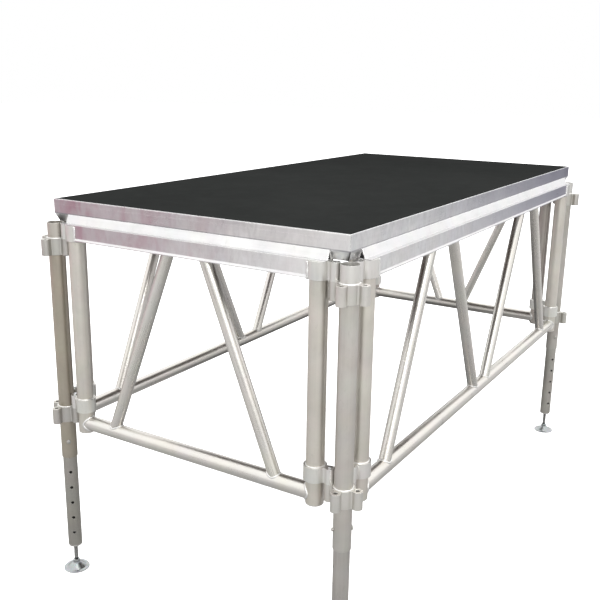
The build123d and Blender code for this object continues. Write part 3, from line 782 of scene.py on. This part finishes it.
def leg_beads(leg):
    """Rings around the outer tube at the ends of its two collars."""
    x, y = LEGS[leg]
    store = ([], [])
    for z, up in ((COLLAR_BOTTOM, -1), (COLLAR_BOTTOM + COLLAR_HEIGHT, 1),
                  (COLLAR_TOP - COLLAR_HEIGHT, -1), (COLLAR_TOP, 1)):
        bead(store, level_ring(x, y, z, OUTER_TUBE_R), COLLAR_BEAD, facing_out(x, y, up),
             seed=z * 77 + x)
    make_object("weld_beads_leg_" + leg, *store, weld_mat, "root", "leg_tube")


for name in FRAMES:
    frame_beads(name)
for leg in LEGS:
    leg_beads(leg)


# ================================================================ jack screws
SCREW_SIDES = 36
THREAD_R = 0.0080
ROOT_R = 0.0061
SHANK_R = 0.0076
JOURNAL_R = 0.0050
TIP_R = 0.0060
SHOULDER_Z = 0.0420
THREAD_PITCH = 0.004
ROWS_PER_TURN = 10
CREST, FLANK = 0.37, 0.13           # parts of the pitch; the root is as wide as the crest


def thread_height(phase):
    """Trapezoidal profile: 1 on the crest, 0 in the root."""
    if phase < CREST:
        return 1.0
    if phase < 0.5:
        return 1.0 - (phase - CREST) / FLANK
    if phase < 0.5 + CREST:
        return 0.0
    return (phase - 0.5 - CREST) / FLANK


def threaded_screw(leg):
    """A journal, a shoulder and a right-handed thread, replacing the CAD screw."""
    x, y = LEGS[leg]
    node = "leg_" + leg + "_jack_screw"
    bottom, top = (corner.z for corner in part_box(node))
    verts, faces = [], []

    def add_row(radii, z):
        """Adds a ring of vertices and joins it to the one below."""
        base = len(verts)
        for a, r in zip(angles(SCREW_SIDES), radii):
            verts.append((x + r * math.cos(a), y + r * math.sin(a), z))
        if base:
            below = base - SCREW_SIDES
            for k in range(SCREW_SIDES):
                k2 = (k + 1) % SCREW_SIDES
                faces.append((below + k, below + k2, base + k2, base + k))
        return base

    add_row([JOURNAL_R - 0.0008] * SCREW_SIDES, bottom)
    faces.append(tuple(reversed(range(SCREW_SIDES))))
    # radius and height of the plain rings below the thread
    for r, z in (
        (JOURNAL_R, bottom + 0.0008),
        (JOURNAL_R, SHOULDER_Z - 0.0008),
        (0.0066, SHOULDER_Z - 0.0004),
        (SHANK_R, SHOULDER_Z + 0.0006),
        (SHANK_R, SHOULDER_Z + 0.0050),
    ):
        add_row([r] * SCREW_SIDES, z)

    start, end = SHOULDER_Z + 0.0052, top - 0.0015
    rows = int((end - start) / (THREAD_PITCH / ROWS_PER_TURN))
    for i in range(rows + 1):
        z = start + (end - start) * i / rows
        # the thread runs out towards the shank radius at both ends
        depth = min(1.0, (z - start) / 0.004, (end - z) / 0.003 + 0.2)
        radii = []
        for a in angles(SCREW_SIDES):
            phase = ((z / THREAD_PITCH) - a / (2 * math.pi)) % 1.0
            r = ROOT_R + (THREAD_R - ROOT_R) * thread_height(phase)
            radii.append(SHANK_R + (r - SHANK_R) * depth)
        add_row(radii, z)
    last = add_row([TIP_R] * SCREW_SIDES, top)
    faces.append(tuple(last + k for k in range(SCREW_SIDES)))
    screw = make_object("jack_screw_" + leg, verts, faces, thread_mat, "screw_" + leg,
                        "zinc_steel")
    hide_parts(node)


for leg in LEGS:
    threaded_screw(leg)


# ================================================================ floor, world, lights, camera
TO_CAMERA = Vector((-0.888, -0.460, 0.0))
FLOOR_SIZE = 45.0
FLOOR_RAMP_REACH = 20.0             # distance from the centre at which the ramp ends
# what reflections see of the floor: (part of the reach, brightness)
FLOOR_SEEN = ((0.0, 0.36), (0.06, 0.50), (0.15, 0.80), (0.30, 1.10), (0.40, 1.10),
              (0.52, 0.62), (0.75, 0.36), (1.0, 0.28))
FLOOR_BACK = 0.20                   # brightness factor on the side away from the camera
FLOOR_LIFT = 0.55                   # glow of the floor as the camera sees it
# (upward part of the direction, brightness)
SKY = ((0.0, 0.45), (0.05, 0.9), (0.10, 1.35), (0.3, 1.4), (1.0, 1.5))


def floor_material():
    g = Surface("floor_white")
    x, y, _ = g.split(g.coord)
    r = g.math("SQRT", g.plus(g.times(x, x), g.times(y, y)))
    far = g.ramp(g.math("DIVIDE", r, FLOOR_RAMP_REACH), FLOOR_SEEN)
    towards = g.plus(g.times(x, TO_CAMERA.x), g.times(y, TO_CAMERA.y))
    towards = g.math("DIVIDE", towards, g.math("MAXIMUM", r, 0.01))
    side = g.fade(towards, over=(-1.0, -0.60), to=(FLOOR_BACK, 1.0))
    # pinkish to the back left, bluish to the front right
    left = g.fade(g.minus(y, g.times(x, by=0.15)), over=(4.5, 8.5))
    left = g.times(left, g.math("LESS_THAN", x, 0.0))
    right = g.times(g.fade(x, over=(6.0, 14.0)), g.math("LESS_THAN", y, 0.0))
    tone = g.mix(left, (1.0, 1.0, 1.0), (1.05, 0.76, 0.86))
    tone = g.mix(right, tone, (0.93, 0.92, 1.08))
    glow = g.node("Emission", tone, g.times(far, side))
    g.set(Base_Color=(0.88, 0.88, 0.88), Roughness=0.9, Specular_IOR_Level=0.0,
          Emission_Color=(1, 1, 1), Emission_Strength=FLOOR_LIFT)
    g.camera_switch(glow.outputs[0], g.bsdf.outputs[0], g.out)
    return g.mat


def make_floor():
    grid = bmesh.new()
    bmesh.ops.create_grid(grid, x_segments=2, y_segments=2, size=FLOOR_SIZE)
    mesh = bpy.data.meshes.new("studio_floor")
    grid.to_mesh(mesh)
    grid.free()
    floor = bpy.data.objects.new("studio_floor", mesh)
    COLLECTION.objects.link(floor)
    mesh.materials.append(floor_material())


def make_world():
    """A sky brighter overhead for the lighting, plain white for the camera."""
    world = bpy.data.worlds.new("studio")
    bpy.context.scene.world = world
    world.use_nodes = True
    g = Nodes(world.node_tree)
    direction = g.node("TexCoord").outputs["Generated"]
    sky = g.ramp(g.split(direction)[2], SKY)
    towards = g.vector_math("DOT_PRODUCT", direction, TO_CAMERA, "Value")
    strength = g.fade(towards, over=(-1.0, 0.6), to=(1.15, 1.1))
    lit = g.node("Background", sky, strength)
    seen = g.node("Background", (1, 1, 1), 1.0)
    g.camera_switch(lit.outputs[0], seen.outputs[0], g.node("OutputWorld"))


def area_light(name, at, look, size, size_y, power):
    lamp = bpy.data.lights.new(name, "AREA")
    lamp.shape = "RECTANGLE"
    lamp.size = size
    lamp.size_y = size_y
    lamp.energy = power
    light = bpy.data.objects.new(name, lamp)
    COLLECTION.objects.link(light)
    light.location = at
    light.rotation_euler = (Vector(look) - Vector(at)).to_track_quat("-Z", "Y").to_euler()
    light.visible_camera = False


CAMERA_PLACE = Vector((-3.2838, -1.7035, 1.9413))
# axis times angle (radians) of the turn from world axes to right, down and ahead
CAMERA_TURN = Vector((1.6608, -0.9147, 0.7198))


def make_camera():
    lens = bpy.data.cameras.new("camera")
    camera = bpy.data.objects.new("camera", lens)
    COLLECTION.objects.link(camera)
    right, down, ahead = Matrix.Rotation(CAMERA_TURN.length, 3, CAMERA_TURN.normalized())
    # the camera's own axes are right, up and backwards, one to a column
    pose = Matrix((right, -down, -ahead)).transposed().to_4x4()
    pose.translation = CAMERA_PLACE
    camera.matrix_world = pose
    lens.sensor_fit = "HORIZONTAL"
    lens.sensor_width = 36.0
    lens.lens = 49.3986
    lens.clip_start = 0.05
    lens.clip_end = 60.0
    bpy.context.scene.camera = camera


make_floor()
make_world()
area_light("top_soft", at=(-0.6, -0.6, 4.2), look=(0, 0, 1.0), size=3.0, size_y=2.4, power=60)
area_light("near_soft", at=(-3.9, -2.9, 2.9), look=(-1.0, -0.5, 1.0), size=0.9, size_y=0.9,
           power=40)
make_camera()
bpy.context.scene.view_settings.view_transform = "Standard"
bpy.context.scene.view_settings.look = "None"

bpy.context.view_layer.update()
